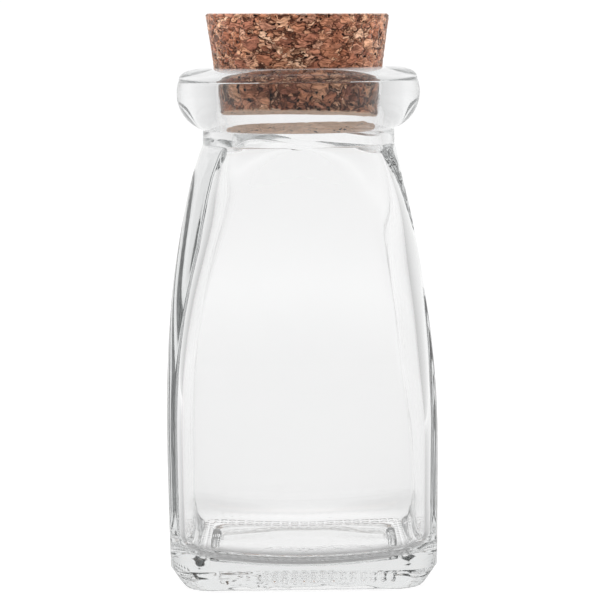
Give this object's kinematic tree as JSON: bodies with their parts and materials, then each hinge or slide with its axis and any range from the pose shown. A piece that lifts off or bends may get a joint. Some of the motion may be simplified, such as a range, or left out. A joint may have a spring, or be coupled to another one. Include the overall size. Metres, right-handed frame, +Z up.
{
  "type": "glass bottle with cork stopper",
  "caption": "Small square-bodied clear glass bottle with leaning shoulders, a short round neck under a rolled lip, and a tapered agglomerated cork stopper that lifts out.",
  "frame": {"origin": "centre of the base, on the surface the bottle stands on", "axes": "+Z up along the bottle's axis and the cork's way out; -Y out of the flank that faces the viewer; X and Y square to the four flanks"},
  "size_m": [0.048, 0.048, 0.1019],
  "materials": {
    "clear_glass": "clear, fire-polished soda-lime glass with slightly wavy walls",
    "agglomerated_cork": "matt agglomerated cork, tan granules with dark specks"
  },
  "bodies": {
    "bottle": {"glass_bottle": "clear_glass"},
    "cork": {"cork_stopper": "agglomerated_cork"}
  },
  "joints": [
    {"name": "cork_slide", "type": "slide", "parent": "bottle", "child": "cork", "axis": [0, 0, 1], "range_m": [0, 0.04]}
  ]
}
